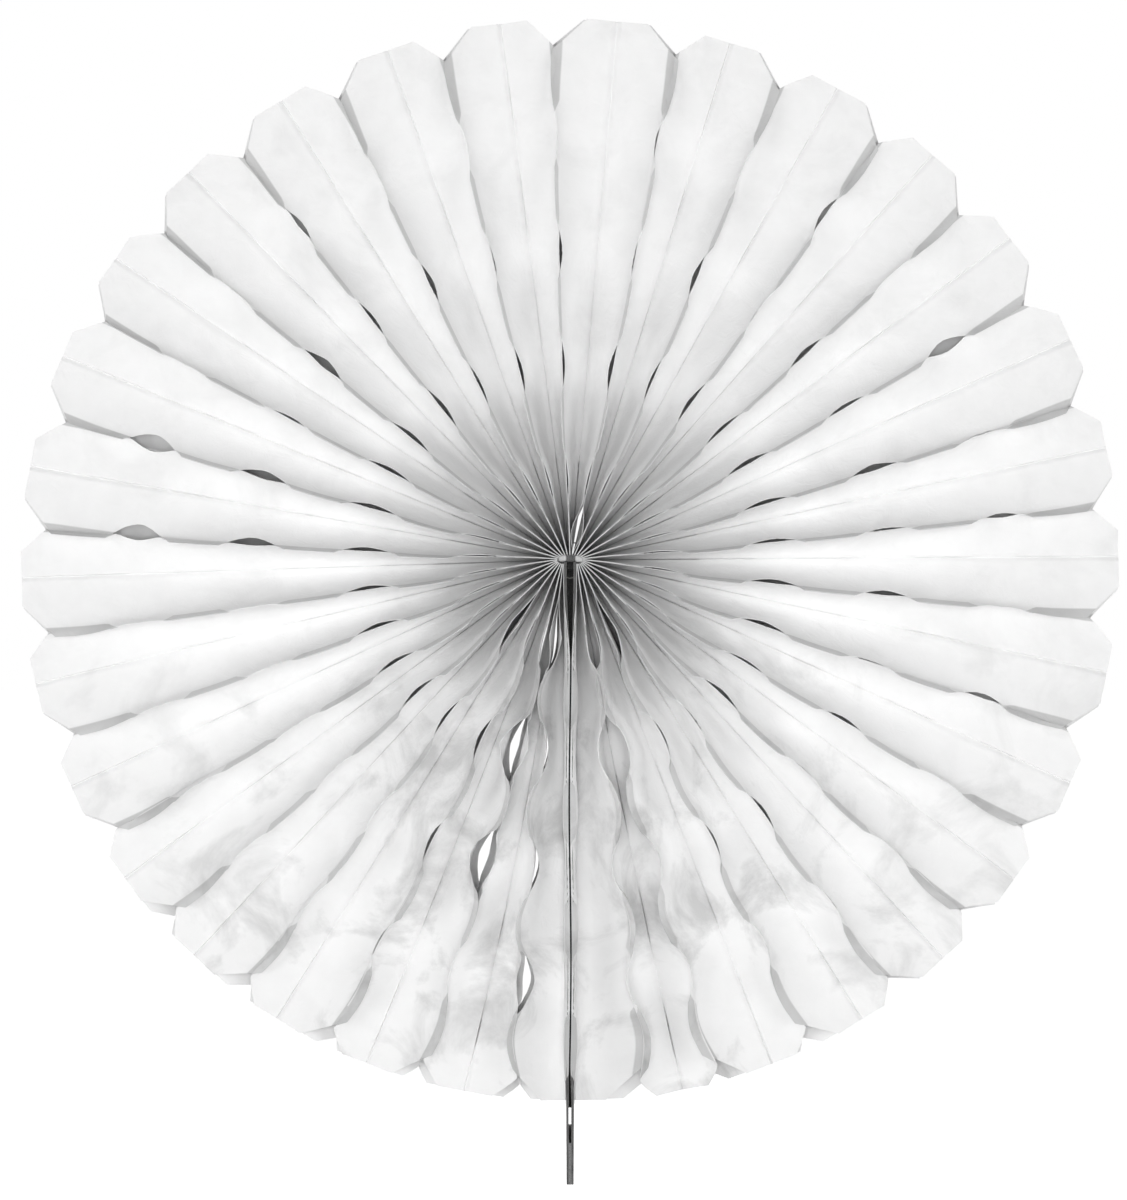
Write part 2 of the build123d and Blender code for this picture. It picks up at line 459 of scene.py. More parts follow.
@dataclass(frozen=True)
class TissuePaper:
    """Bleached tissue: matt and faintly cloudy, with loose fibres; its creases, glued strips and hub take
    painted shade.

    Attributes:
        color: the clean paper.
        cloud: how much darker its clouds are.
        crumple_shade_share: painted shade of the creases on crumpled pleats, as a share of the colour.
        strip_shade: the glued strip, darkened as painted shade of the folded-over fin, as a share of the
            colour.
        tail: the glued strip beyond the last notch, darker still as painted shade where it lies over.
        hub_shade: painted shade on the crowded inner ends, as a share of the colour.
        strip_reach: distances from the fold over which the glued strip starts, in metres.
        tail_shade_reach: distances from the hub over which the tail's painted shade starts.
        hub_shade_reach: distances from the hub over which the painted shade of the crowded ends clears.
        fibre_depth: depth of the fibres.
        crinkle_depth: depth of the crinkles.
    """

    color: Color = (0.92, 0.92, 0.92)
    cloud: float = 0.03
    crumple_shade_share: float = 0.72
    strip_shade: float = 0.80
    tail: float = 0.68
    hub_shade: float = 0.84
    strip_reach: tuple[float, float] = (0.0210, 0.0216)
    tail_shade_reach: tuple[float, float] = (0.184, 0.190)
    hub_shade_reach: tuple[float, float] = (0.015, 0.085)
    fibre_depth: float = 0.00004
    crinkle_depth: float = 0.0007

    def material(self) -> bpy.types.Material:
        """Build the tissue's material.

        Returns:
            The material, which reads its leaf's own UV map and Object coordinates, both in metres.
        """
        board = FinishBoard("white_tissue", Roughness=0.95, Specular_IOR_Level=0.25, Sheen_Weight=0.05)
        flat = board.add("UVMap", uv_map="leaf").outputs["UV"]
        return board.dress(self._tone(board, flat), self._relief(board, flat))

    def _tone(self, board: FinishBoard, flat: Socket) -> Socket:
        """Colour the paper, with painted shade on crumpled pleats, along the glued strips and towards the
        hub.

        Args:
            board: the material's board.
            flat: places on the flat leaf.

        Returns:
            The colour.
        """
        space = board.place()
        clouds = board.ramp(board.noise(space, Scale=90.0, Detail=5.0), 0.30, 0.62)
        clean = board.blend(clouds, toned(self.color, 1 - self.cloud), self.color)
        # Painted shade: on crumpled pleats, darker patches stand in for the shade of the creases.
        shade_patches = board.noise(space, Scale=26.0, Detail=6.0, Roughness=0.62, Distortion=0.6)
        crumple_shade = board.add("Attribute", attribute_name="crumple_shade").outputs["Fac"]
        shade_mask = board.reckon("MULTIPLY", crumple_shade, board.ramp(shade_patches, 0.51, 0.66))
        shaded_paper = board.blend(shade_mask, clean, toned(self.color, self.crumple_shade_share))
        along = board.add("SeparateXYZ", {"Vector": flat}).outputs
        # Painted shade: the glued strip is darkened for the shade on the folded-over fin, and beyond the last
        # notch, where the strip lies over, darker still.
        strip_shade = board.span(along["X"], self.tail_shade_reach, (self.strip_shade, self.tail))
        strip = board.span(board.reckon("ABSOLUTE", along["Y"]), self.strip_reach, (1.0, strip_shade))
        # Painted shade: the paper darkens towards the hub, where the crowded leaves shade each other.
        hub_shade_ramp = board.span(along["X"], self.hub_shade_reach, (self.hub_shade, 1.0))
        return board.blend(1.0, board.blend(1.0, shaded_paper, strip, "MULTIPLY"), hub_shade_ramp, "MULTIPLY")

    def _relief(self, board: FinishBoard, flat: Socket) -> Socket:
        """Raise the crinkles, with the fibres on them.

        Args:
            board: the material's board.
            flat: places on the flat leaf.

        Returns:
            The relief's normal.
        """
        crinkles = board.noise(flat, Scale=160.0, Detail=3.0, Distortion=0.8)
        fibres = board.noise(board.stretch(flat, (700.0, 2400.0, 1.0)), Scale=1.0, Detail=4.0, Distortion=1.5)
        return board.bump(fibres, self.fibre_depth, 0.6, board.bump(crinkles, self.crinkle_depth, 0.5))


@dataclass(frozen=True)
class GreyBoard:
    """Lined card: pale liner on the faces and a dark fibrous core on the cut edges."""

    liner: Color = (0.62, 0.62, 0.61)
    core: Color = (0.10, 0.10, 0.10)
    grain_depth: float = 0.0001

    def material(self) -> bpy.types.Material:
        """Build the card's material.

        Returns:
            The material, whose core shows where the surface faces along the board.
        """
        board = FinishBoard("grey_board", Roughness=0.85, Specular_IOR_Level=0.3)
        normal = board.add("SeparateXYZ", {"Vector": board.add("NewGeometry").outputs["Normal"]})
        faces = board.ramp(board.reckon("ABSOLUTE", normal.outputs["X"]), 0.45, 0.7)
        grain = board.noise(board.stretch(board.place(), (2500.0, 500.0, 260.0)), Scale=1.0, Detail=4.0)
        speckle = board.blend(board.ramp(grain, 0.3, 0.7), toned(self.core, 0.6), toned(self.core, 1.5))
        return board.dress(board.blend(faces, speckle, self.liner), board.bump(grain, self.grain_depth, 0.5))


@dataclass(frozen=True)
class FoamAdhesive:
    """Grey foam tape with open cells."""

    color: Color = (0.16, 0.16, 0.16)
    cell_scale: float = 1800.0
    cell_depth: float = 0.0001

    def material(self) -> bpy.types.Material:
        """Build the foam's material.

        Returns:
            The material.
        """
        board = FinishBoard("foam_adhesive", Roughness=0.8, Specular_IOR_Level=0.3)
        pattern = {"Vector": board.place(), "Scale": self.cell_scale}
        cells = board.add("TexVoronoi", pattern).outputs["Distance"]
        tone = board.blend(board.ramp(cells, 0.1, 0.6), toned(self.color, 0.6), toned(self.color, 1.3))
        return board.dress(tone, board.bump(cells, self.cell_depth, 0.6))


@dataclass(frozen=True)
class CottonThread:
    """Undyed cotton with the twist of its plies."""

    color: Color = (0.85, 0.84, 0.80)
    ply_scale: float = 900.0
    ply_depth: float = 0.0001

    def material(self) -> bpy.types.Material:
        """Build the thread's material.

        Returns:
            The material.
        """
        board = FinishBoard("cotton_thread", Roughness=0.9, Specular_IOR_Level=0.2, Sheen_Weight=0.2)
        twist = {"Vector": board.place(), "Scale": self.ply_scale, "Distortion": 1.0}
        plies = board.add("TexWave", twist, bands_direction="DIAGONAL").outputs["Fac"]
        tone = board.blend(plies, toned(self.color, 0.7), self.color)
        return board.dress(tone, board.bump(plies, self.ply_depth, 0.7))


# The fan's layout


@dataclass(frozen=True)
class FanLayout:
    """Where the cells stand: the CAD source's values and rules."""

    radius: float = 225.0
    leaf_width: float = 50.0
    cells: int = 31
    join_height: float = 1.6
    crowding: float = 4.0
    skew: float = 0.7
    disc_height: float = 245.0
    hub_shift: float = 2.5
    bunching: float = 1.6
    card_tilt: float = math.degrees(math.atan(1.0 / 256.0))

    @property
    def half(self) -> float:
        """Half of a leaf's width, from its fold to its edge."""
        return self.leaf_width / 2

    def along(self, angle: np.ndarray | float) -> np.ndarray:
        """Directions from the centre towards some angles, one row each, in the disc's plane."""
        turn = np.radians(np.atleast_1d(angle))
        return np.stack([-np.sin(turn), np.zeros_like(turn), -np.cos(turn)], axis=1)

    def hub(self, angle: np.ndarray | float) -> np.ndarray:
        """Find where the leaves at some angles fan out from.

        Args:
            angle: the angles.

        Returns:
            The points, one row each.
        """
        turn = np.radians(np.clip(np.atleast_1d(angle), 0.0, 360.0))
        across = -self.hub_shift * np.cos(turn / 2) - self.bunching * np.sin(turn)
        return np.stack([across, np.zeros_like(turn), np.full_like(turn, self.disc_height)], axis=1)

    def even_ridge(self, number: int) -> float:
        """Find a cell's ridge by the CAD source's rule.

        Args:
            number: the cell's number, from 1.

        Returns:
            The ridge's angle.
        """
        even = (number - 0.5) * 360.0 / self.cells
        turn = math.radians(even)
        return even - self.crowding * math.sin(turn) - self.skew * (math.sin(2 * turn) + 1 - math.cos(turn))


@dataclass(frozen=True)
class Crest:
    """How one ridge stands.

    Attributes:
        shift: angle by which the ridge departs from the even rule.
        lean: how far the ridge leans over, towards larger angles.
        flop: how much further its glued strip lies over.
        tail: how far the strip lies over beyond the last notch.
        wave: how far the ridge swings out between its notches.
        bow: angle by which its inner part departs from the line of its outer part.
        crumple: how deep its leaves' creases are.
        open: whether its back leans like its front, so that the notches can be seen through.
        shut: how far the leaves have closed over each notch, from the hub outwards.
        rim: how far the back's notch at the rim lies outside the front's, in millimetres.
        gape: how far the two leaves have come apart along the ridge near the hub, in millimetres.
        wide: how far each leaf stands off at each notch, in millimetres, from the hub outwards.
    """

    shift: float
    lean: float
    flop: float = 25.0
    tail: float = 25.0
    wave: float = 0.4
    bow: float = 0.0
    crumple: float = 0.3
    open: bool = False
    shut: tuple[float, float, float, float] = (0.0, 0.0, 0.0, 0.0)
    rim: float = 0.0
    gape: float = 0.0
    wide: tuple[float, float, float, float] = (0.0, 0.0, 0.0, 0.0)


CRESTS = (
    Crest(-0.2, 2, 15, 20, 3.0, 2.0, 1.9, True, rim=5.0, wide=(2.4, 0.0, 0.0, 3.6)),
    Crest(0.3, -4, -20, -60, 1.4, -2.5, 1.9, True, (0.0, 0.0, 0.0, 0.7), 5.5, wide=(0.0, 6.0, 5.5, 0.0)),
    Crest(0.1, -16, -20, -60, 1.2, -2.0, 1.8, shut=(0.0, 0.0, 0.3, 0.5), rim=5.5),
    Crest(0.1, -14, -15, -70, 0.8, 0.0, 1.6, shut=(0.0, 0.1, 0.7, 0.9), rim=5.0, wide=(1.3, 0.0, 0.0, 0.0)),
    Crest(0.4, -16, -12, -70, 0.6, 0.0, 1.1, shut=(0.0, 0.0, 0.9, 0.9), rim=4.5),
    Crest(0.0, -14, -12, -75, 0.4, 0.0, 0.8, shut=(0.0, 0.0, 0.9, 0.95)),
    Crest(0.3, -14, -12, -75, 0.3, 0.0, 0.5, shut=(0.0, 0.0, 0.9, 0.95)),
    Crest(0.1, -12, -10, -75, 0.2, shut=(0.0, 0.0, 0.9, 0.95)),
    Crest(-0.4, -12, -8, -10, 0.1),
    Crest(0.2, -12, -8, -20, 0.3),
    Crest(0.0, -10, -8, -8, 0.1, shut=(0.0, 0.0, 0.4, 0.9)),
    Crest(-0.4, -12, -8, -8, 0.1, shut=(0.0, 0.0, 0.0, 0.7)),
    Crest(-0.3, -10, -8, -15, 0.1, shut=(0.0, 0.0, 0.3, 0.4)),
    Crest(0.1, -10, -8, -15, 0.1, shut=(0.0, 0.2, 0.2, 0.8)),
    Crest(0.2, -9, -8, -60, 0.2, shut=(0.0, 0.1, 0.5, 0.6)),
    Crest(0.2, -6, -6, -65, 0.2, shut=(0.0, 0.2, 0.3, 0.7)),
    Crest(0.4, 7, 8, 65, 0.2, shut=(0.0, 0.0, 0.5, 0.5), gape=2.2),
    Crest(-0.1, 10, 8, 65, 0.3, shut=(0.0, 0.2, 0.2, 0.8)),
    Crest(0.4, 11, 8, 70, 0.2, shut=(0.0, 0.0, 0.6, 0.4)),
    Crest(-0.2, 12, 8, 70, 0.1, shut=(0.0, 0.1, 0.2, 0.7)),
    Crest(-0.2, 12, 8, 50, 0.1, shut=(0.0, 0.0, 0.3, 0.2)),
    Crest(0.2, 12, 8, 50, 0.1, shut=(0.0, 0.0, 0.1, 0.6)),
    Crest(-0.6, 12, 8, 25, 0.2, shut=(0.0, 0.1, 0.4, 0.3)),
    Crest(-0.7, 13, 10, 60, 0.2, shut=(0.0, 0.0, 0.2, 0.8)),
    Crest(0.2, 14, 10, 60, 0.3, 0.0, 0.5, shut=(0.0, 0.0, 0.5, 0.4)),
    Crest(0.5, 14, 12, 65, 0.3, 0.0, 0.8, shut=(0.0, 0.2, 0.3, 0.8)),
    Crest(0.7, 16, 12, 70, 0.5, 0.0, 1.0, shut=(0.0, 0.0, 0.6, 0.6)),
    Crest(0.5, 16, 15, 70, 0.8, 0.0, 1.2, shut=(0.0, 0.4, 0.3, 0.5)),
    Crest(0.1, 16, 20, 60, 1.4, 0.0, 1.7, shut=(0.0, 0.3, 0.4, 0.6), rim=5.0, wide=(1.7, 0.0, 0.0, 0.0)),
    Crest(0.1, 18, 25, 50, 2.4, 0.0, 1.8, shut=(0.0, 0.6, 0.6, 0.6), rim=5.0),
    Crest(-1.6, -8, -20, -30, 2.8, 0.0, 1.6, shut=(0.3, 0.8, 0.7, 0.9), rim=3.0),
)


@dataclass(frozen=True)
class CardShape:
    """Where the card strips' faces run: the CAD source's lean, and their edges drawn together.

    Attributes:
        thickness: thickness of a strip.
        length: distance of its outer end from the disc's centre.
        inner_end: distance of its inner end.
        half_gap: distance of its inner face from the middle at the disc's centre.
        half_pad: the same at the outer end.
        edge_gap: the same where the edges are drawn together.
        setback: how much narrower a strip is there, on either edge.
        sway: how far the drawn edges wander to either side.
        sway_length: distance over which they do so, for a turn of one radian.
        edge: distances from the disc's middle plane over which the strip bends to its edge.
        drawn_from: distances below the centre over which the edges draw together.
        drawn_to: distances over which they part again.
    """

    thickness: float = 1.0
    length: float = 256.0
    inner_end: float = 1.0
    half_gap: float = 1.5
    half_pad: float = 0.5
    edge_gap: float = 0.35
    setback: float = 1.6
    sway: float = 0.35
    sway_length: float = 21.0
    edge: Onset = Onset(8.0, 17.0)
    drawn_from: Onset = Onset(10.0, 34.0)
    drawn_to: Onset = Onset(208.0, 16.0)

    def face(self, radius: np.ndarray, depth: np.ndarray, side: int) -> np.ndarray:
        """Place across the fan of a strip's inner face.

        Args:
            radius: distances below the disc's centre.
            depth: distances from the disc's middle plane.
            side: -1 for the left strip and 1 for the right one.

        Returns:
            The places along X, in millimetres.
        """
        gap = self.half_gap - (self.half_gap - self.half_pad) * radius / self.length
        edge = self.edge.at(np.abs(depth)) * self.drawn(radius)
        swing = self.sway * np.sin(radius / self.sway_length)
        return side * (gap - (gap - self.edge_gap) * edge) + swing * edge

    def drawn(self, radius: np.ndarray) -> np.ndarray:
        """How far the strips' edges are drawn together, from 0 to 1, at some distances below the centre."""
        return self.drawn_from.at(radius) * (1 - self.drawn_to.at(radius))


@dataclass
class FanPlan:
    """The layout with every ridge's own lean and shift."""

    layout: FanLayout = field(default_factory=FanLayout)
    crests: tuple[Crest, ...] = CRESTS
    card: CardShape = field(default_factory=CardShape)
    valley_bows: dict[int, float] = field(default_factory=lambda: {1: -3.5, 2: -1.5, 30: 1.5})

    def ridge(self, number: int) -> float:
        """Angle of a cell's ridge at the rim."""
        return self.layout.even_ridge(number) + self.crests[number - 1].shift

    def valley(self, number: int) -> float:
        """Find the valley after a cell.

        Args:
            number: the cell's number; valley 0 is the first card strip's outer face.

        Returns:
            The valley's angle at the rim.
        """
        if number == 0:
            return -self.layout.card_tilt
        if number == self.layout.cells:
            return 360.0 + self.layout.card_tilt
        return (self.ridge(number) + self.ridge(number + 1)) / 2

    def valley_bow(self, number: int) -> float:
        """Angle by which a valley's inner part departs from the line of its outer part."""
        return self.valley_bows.get(number, 0.0)


# The tissue


@dataclass
class LeafCut:
    """One leaf as it is cut from the flat tissue, with a notch pattern in both long edges.

    Attributes:
        layout: the fan's layout.
        notch_length: length of a notch along the edge.
        notch_depth: its depth.
        notch_first: distance of the first notch from the hub.
        notch_pitch: distance from one notch to the next.
        notch_count: how many notches an edge has.
        roundness: how far the straight sides of the notches are eased outwards, from 0 to 1.
        bottom: power of the curve that they are eased to.
        mouth: power of the curve that stands for a notch where its edge is drawn up.
        ease_length: how far beside a notch the points give way.
        start: distance of the inner end from the hub.
        inner_slant: how far the inner end is set back at the long edges.
        slant_length: how far from the inner end the points give way.
        rim_cut_length: length of the cut-off outer corners.
        rim_cut_depth: their depth.
        score_reach: how far beyond a cut's ends the faces are scored.
        score_depth: how far below its lower end they are.
        weld: distance at which points become one.
        quad_angle: most that two triangles' shape and tilt may differ to become a quad, in radians.
        rows: how many faces the leaf has along and across.
    """

    layout: FanLayout
    notch_length: float = 27.0
    notch_depth: float = 8.5
    notch_first: float = 32.5
    notch_pitch: float = 47.5
    notch_count: int = 4
    roundness: float = 0.6
    bottom: float = 1.7
    mouth: float = 0.6
    ease_length: float = 10.0
    start: float = 0.2
    inner_slant: float = 1.8
    slant_length: float = 12.0
    rim_cut_length: float = 14.0
    rim_cut_depth: float = 13.0
    score_reach: float = 6.0
    score_depth: float = 2.0
    weld: float = 0.02
    quad_angle: float = 0.7
    rows: tuple[int, int] = (78, 36)

    def notch_radii(self) -> list[float]:
        """Distances of the notches from the hub."""
        return [self.notch_first + self.notch_pitch * place for place in range(self.notch_count)]

    def build(self) -> bpy.types.Object:
        """Cut the leaf.

        Returns:
            The flat leaf in metres: X is the distance from the hub and Y the distance from the fold.
        """
        rim, half = self.layout.radius, self.layout.half
        leaf = flat_strip("flat_leaf", (self.start, rim), self.layout.leaf_width, self.rows)
        for sign in (-1, 1):
            for radius in self.notch_radii():
                bottom = (radius, half - self.notch_depth)
                self._cut(leaf, sign, (radius - self.notch_length / 2, half), bottom)
                self._cut(leaf, sign, bottom, (radius + self.notch_length / 2, half))
                self._drop(leaf, sign, self.notch_depth, partial(self._notch_share, radius))
            self._cut(leaf, sign, (rim - self.rim_cut_length, half), (rim, half - self.rim_cut_depth))
            self._drop(leaf, sign, self.rim_cut_depth, self._corner_share)
        bpy.ops.mesh.select_all(action="SELECT")
        bpy.ops.mesh.remove_doubles(threshold=self.weld * MM)
        bpy.ops.mesh.select_all(action="SELECT")
        bpy.ops.mesh.quads_convert_to_tris(quad_method="BEAUTY", ngon_method="BEAUTY")
        bpy.ops.mesh.tris_convert_to_quads(face_threshold=self.quad_angle, shape_threshold=self.quad_angle)
        deselect_all()
        self._round_notches(leaf)
        self._slant_inner_end(leaf)
        self._write_uv(leaf)
        return leaf

    def missing(self, radius: np.ndarray) -> np.ndarray:
        """Find how deep the notches are.

        Args:
            radius: distances from the hub.

        Returns:
            The depths there, in millimetres.
        """
        total = np.zeros_like(radius)
        for centre in self.notch_radii():
            off = np.clip(np.abs(radius - centre) / (self.notch_length / 2), 0.0, 1.0)
            total += (1 - self.roundness) * (1 - off) + self.roundness * (1 - off**2) ** self.mouth
        return total * self.notch_depth

    def missing_corner(self, radius: np.ndarray) -> np.ndarray:
        """How much of the leaf's outer corner is cut off at some distances from the hub, in millimetres."""
        return np.clip(self._corner_share(radius), 0.0, 1.0) * self.rim_cut_depth

    def _round_notches(self, leaf: bpy.types.Object) -> None:
        """Ease the straight sides of the notches outwards, so that they have a rounded bottom.

        Args:
            leaf: the leaf.
        """
        places = points_of(leaf) / MM
        down = np.clip((self.layout.half - np.abs(places[:, 1])) / self.notch_depth, 0.0, 1.0)
        straight = self.notch_length / 2 * (1 - down)
        curved = self.notch_length / 2 * np.sqrt(1 - down**self.bottom)
        for radius in self.notch_radii():
            offset = places[:, 0] - radius
            beyond = np.clip(np.abs(offset) - straight, 0.0, None)
            ease = np.clip(1 - beyond / self.ease_length, 0.0, 1.0) ** 2
            places[:, 0] += np.sign(offset) * (curved - straight) * self.roundness * ease
        move_points(leaf, places * MM)

    def _slant_inner_end(self, leaf: bpy.types.Object) -> None:
        """Set the leaf's inner end back towards its long edges.

        Args:
            leaf: the leaf.
        """
        places = points_of(leaf) / MM
        near = np.clip(1 - (places[:, 0] - self.start) / self.slant_length, 0.0, 1.0)
        places[:, 0] += self.inner_slant * np.abs(places[:, 1]) / self.layout.half * near
        move_points(leaf, places * MM)

    def _notch_share(self, centre: float, radius: float) -> float:
        """Share of a notch's depth that its straight sides reach at some distance from the hub."""
        return 1 - abs(radius - centre) / (self.notch_length / 2)

    def _corner_share(self, radius: float | np.ndarray) -> float | np.ndarray:
        """Share of the outer corner's depth that is cut off at some distance from the hub."""
        return 1 - (self.layout.radius - radius) / self.rim_cut_length

    def _cut(
        self, leaf: bpy.types.Object, sign: int, start: tuple[float, float], end: tuple[float, float]
    ) -> None:
        """Score the leaf along a slanting line, only near that line.

        Args:
            leaf: the leaf, open in edit mode.
            sign: 1 for the front edge and -1 for the back edge.
            start: the line's inner end, as distance from the hub and from the fold.
            end: the line's outer end.
        """
        lowest = min(start[1], end[1]) - self.score_depth
        select_faces(
            leaf,
            lambda place: start[0] - self.score_reach < place.x / MM < end[0] + self.score_reach
            and place.y / MM * sign > lowest,
        )
        normal = Vector((end[1] - start[1], sign * (start[0] - end[0]), 0)).normalized()
        bpy.ops.mesh.bisect(plane_co=(start[0] * MM, sign * start[1] * MM, 0), plane_no=normal)

    def _drop(self, leaf: bpy.types.Object, sign: int, depth: float, share: Callable[[float], float]) -> None:
        """Delete what a cut has parted from the leaf.

        Args:
            leaf: the leaf, open in edit mode.
            sign: 1 for the front edge and -1 for the back edge.
            depth: full depth of the cut.
            share: gives the share of that depth that is cut at a distance from the hub.
        """

        def parted(place: Vector) -> bool:
            """Whether a face's centre lies beyond the cut."""
            reached = share(place.x / MM)
            return reached > 0 and place.y / MM * sign > self.layout.half - depth * reached

        if select_faces(leaf, parted):
            bpy.ops.mesh.delete(type="FACE")

    def _write_uv(self, leaf: bpy.types.Object) -> None:
        """Keep the flat leaf's places, in metres, as the UV map of its paper.

        Args:
            leaf: the leaf.
        """
        layer = leaf.data.uv_layers[0] if leaf.data.uv_layers else leaf.data.uv_layers.new(name="leaf")
        layer.name = "leaf"
        places = points_of(leaf)[:, :2]
        corners = np.empty(len(leaf.data.loops), dtype=int)
        leaf.data.loops.foreach_get("vertex_index", corners)
        layer.data.foreach_set("uv", places[corners].ravel())


@dataclass
class TissueFan:
    """The 31 pleats, each folded from two leaves.

    Attributes:
        plan: where the ridges and valleys run.
        cut: the flat leaf.
        thickness: thickness of the paper.
        smooth_angle: angle up to which it is shaded smooth.
        glue: least and full width of the strip that is glued along a ridge.
        glue_pitch: distances from ridge to valley over which it widens.
        glue_share: most that it takes of the width that a leaf has to spare.
        least_spare: least width to spare.
        most_reach: most of a leaf's length that the distance from ridge to valley may take up.
        margin: how far the section's curve stays from an even one, which has no solution.
        most_wall: most of the distance from ridge to valley that the paper's thickness takes.
        pivot_share: depth at which a ridge starts to lean, as a share of its full depth.
        back_lean: how much of the front's lean the back has.
        front_slip: how far the front of a ridge stands off the middle, as a share of its half width.
        back_slip: the same for the back, which closes most of what the notches open.
        most_slip: the most that a ridge stands off.
        full_slip_lean: lean at which it does so.
        back_shut: how far the back's notches have closed.
        open_back_shut: the same where the notches can be seen through.
        back_gape: how much of the front's gape the back's notches have.
        wide_reach: reach of a gaping notch, as a share of its length.
        wide_power: power of the curve by which it closes again.
        tail_gap: distance from the last notch to where the strip turns into its tail.
        foot: height over which the strip turns at its foot.
        end_curl: how far the end leaves bulge off the left and the right card strip.
        curl_turn: how much of a wave that bulge is, in radians.
        end_gap: distance of the end leaves from the strips.
        edge_gap: the same where they are drawn over the strips' edges.
        fade: distance from the ridge over which the creases fade out.
        calm: what is left of them at the ridge.
        creases: how many creases are laid over each other.
        crease_length: least and most distance from one crease to the next.
        crease_phase: most that a crease is shifted, in radians.
        crease_height: what the creases' sum is divided by.
        full_shade_crumple: how crumpled a pleat is that takes the full painted shade of its creases.
        lean_on: where along the ridge its lean sets in.
        slip_on: where it starts to stand off the middle.
        flop_on: where its glued strip starts to lie over.
        wave_on: where it starts to swing.
        gape_on: where a ridge that has come open near the hub starts to part.
        gape_off: where it is closed again.
        crumple_shade_on: where the painted shade of the creases starts, from the disc's centre.
        crease_on: where along the ridge the creases start.
        crease_high: where they start across the leaf, from its fold.
        crease_deep: where they start in depth.
        crease_wide: from which distance from ridge to valley there is room for them.
        curl_on: where the end leaves start to bulge.
        wrap_on: where across an end leaf it bends over the strip's edge.
    """

    plan: FanPlan
    cut: LeafCut
    thickness: float = 0.2
    smooth_angle: float = 50.0
    glue: tuple[float, float] = (2.8, 4.4)
    glue_pitch: tuple[float, float] = (13.0, 17.0)
    glue_share: float = 0.75
    least_spare: float = 0.5
    most_reach: float = 0.985
    margin: float = 0.02
    most_wall: float = 0.9
    pivot_share: float = 0.15
    back_lean: float = 0.5
    front_slip: float = 0.10
    back_slip: float = 0.60
    most_slip: float = 6.0
    full_slip_lean: float = 6.0
    back_shut: float = 0.6
    open_back_shut: float = 0.15
    back_gape: float = 0.2
    wide_reach: float = 0.62
    wide_power: float = 1.15
    tail_gap: float = 9.0
    foot: float = 1.5
    end_curl: tuple[float, float] = (0.9, 1.4)
    curl_turn: float = 2.7
    end_gap: float = 0.2
    edge_gap: float = 0.1
    fade: float = 6.0
    calm: float = 0.25
    creases: int = 9
    crease_length: tuple[float, float] = (9.0, 30.0)
    crease_phase: float = 6.3
    crease_height: float = 3.0
    full_shade_crumple: float = 1.6
    lean_on: Onset = Onset(8.0, 45.0)
    slip_on: Onset = Onset(10.0, 40.0)
    flop_on: Onset = Onset(15.0, 50.0)
    wave_on: Onset = Onset(20.0, 40.0)
    gape_on: Onset = Onset(2.0, 9.0)
    gape_off: Onset = Onset(12.0, 13.0)
    crumple_shade_on: Onset = Onset(20.0, 60.0)
    crease_on: Onset = Onset(30.0, 60.0)
    crease_high: Onset = Onset(0.9, 3.0)
    crease_deep: Onset = Onset(1.0, 6.0)
    crease_wide: Onset = Onset(0.0, 6.0)
    curl_on: Onset = Onset(20.0, 50.0)
    wrap_on: Onset = Onset(21.8, 3.0)

    def build(self, paper: bpy.types.Material) -> None:
        """Fold and dress every pleat.

        Args:
            paper: the tissue's material.
        """
        pattern = self.cut.build()
        for number in range(1, self.plan.layout.cells + 1):
            pleat = join_pieces(self._leaves(pattern, number), f"tissue_pleat_{number:02d}")
            self._write_crumple_shade(pleat, self.plan.crests[number - 1])
            thicken(pleat, self.thickness)
            shade(pleat, self.smooth_angle)
            paint(pleat, paper)
            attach(pleat, BODY)
            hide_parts(f"tissue_cell_{number:02d}")
            LOG.info("%s: %d faces", pleat.name, len(pleat.data.polygons))
        bpy.data.objects.remove(pattern)

    def _leaves(self, pattern: bpy.types.Object, number: int) -> list[bpy.types.Object]:
        """Fold the two leaves of a pleat, and the third one that an end pleat has on its card strip.

        Args:
            pattern: the flat leaf.
            number: the cell's number.

        Returns:
            The leaves.
        """
        leaves = []
        for side in Side:
            leaf = copy_piece(pattern, f"leaf_{number:02d}_{side.name.lower()}")
            move_points(leaf, self.fold(points_of(leaf) / MM, number, side) * MM)
            leaves.append(leaf)
        ends = {1: Side.BEFORE, self.plan.layout.cells: Side.AFTER}
        if number in ends:
            leaf = copy_piece(pattern, f"end_leaf_{number:02d}")
            move_points(leaf, self.lay_on_card(points_of(leaf) / MM, ends[number]) * MM)
            leaves.append(leaf)
        return leaves

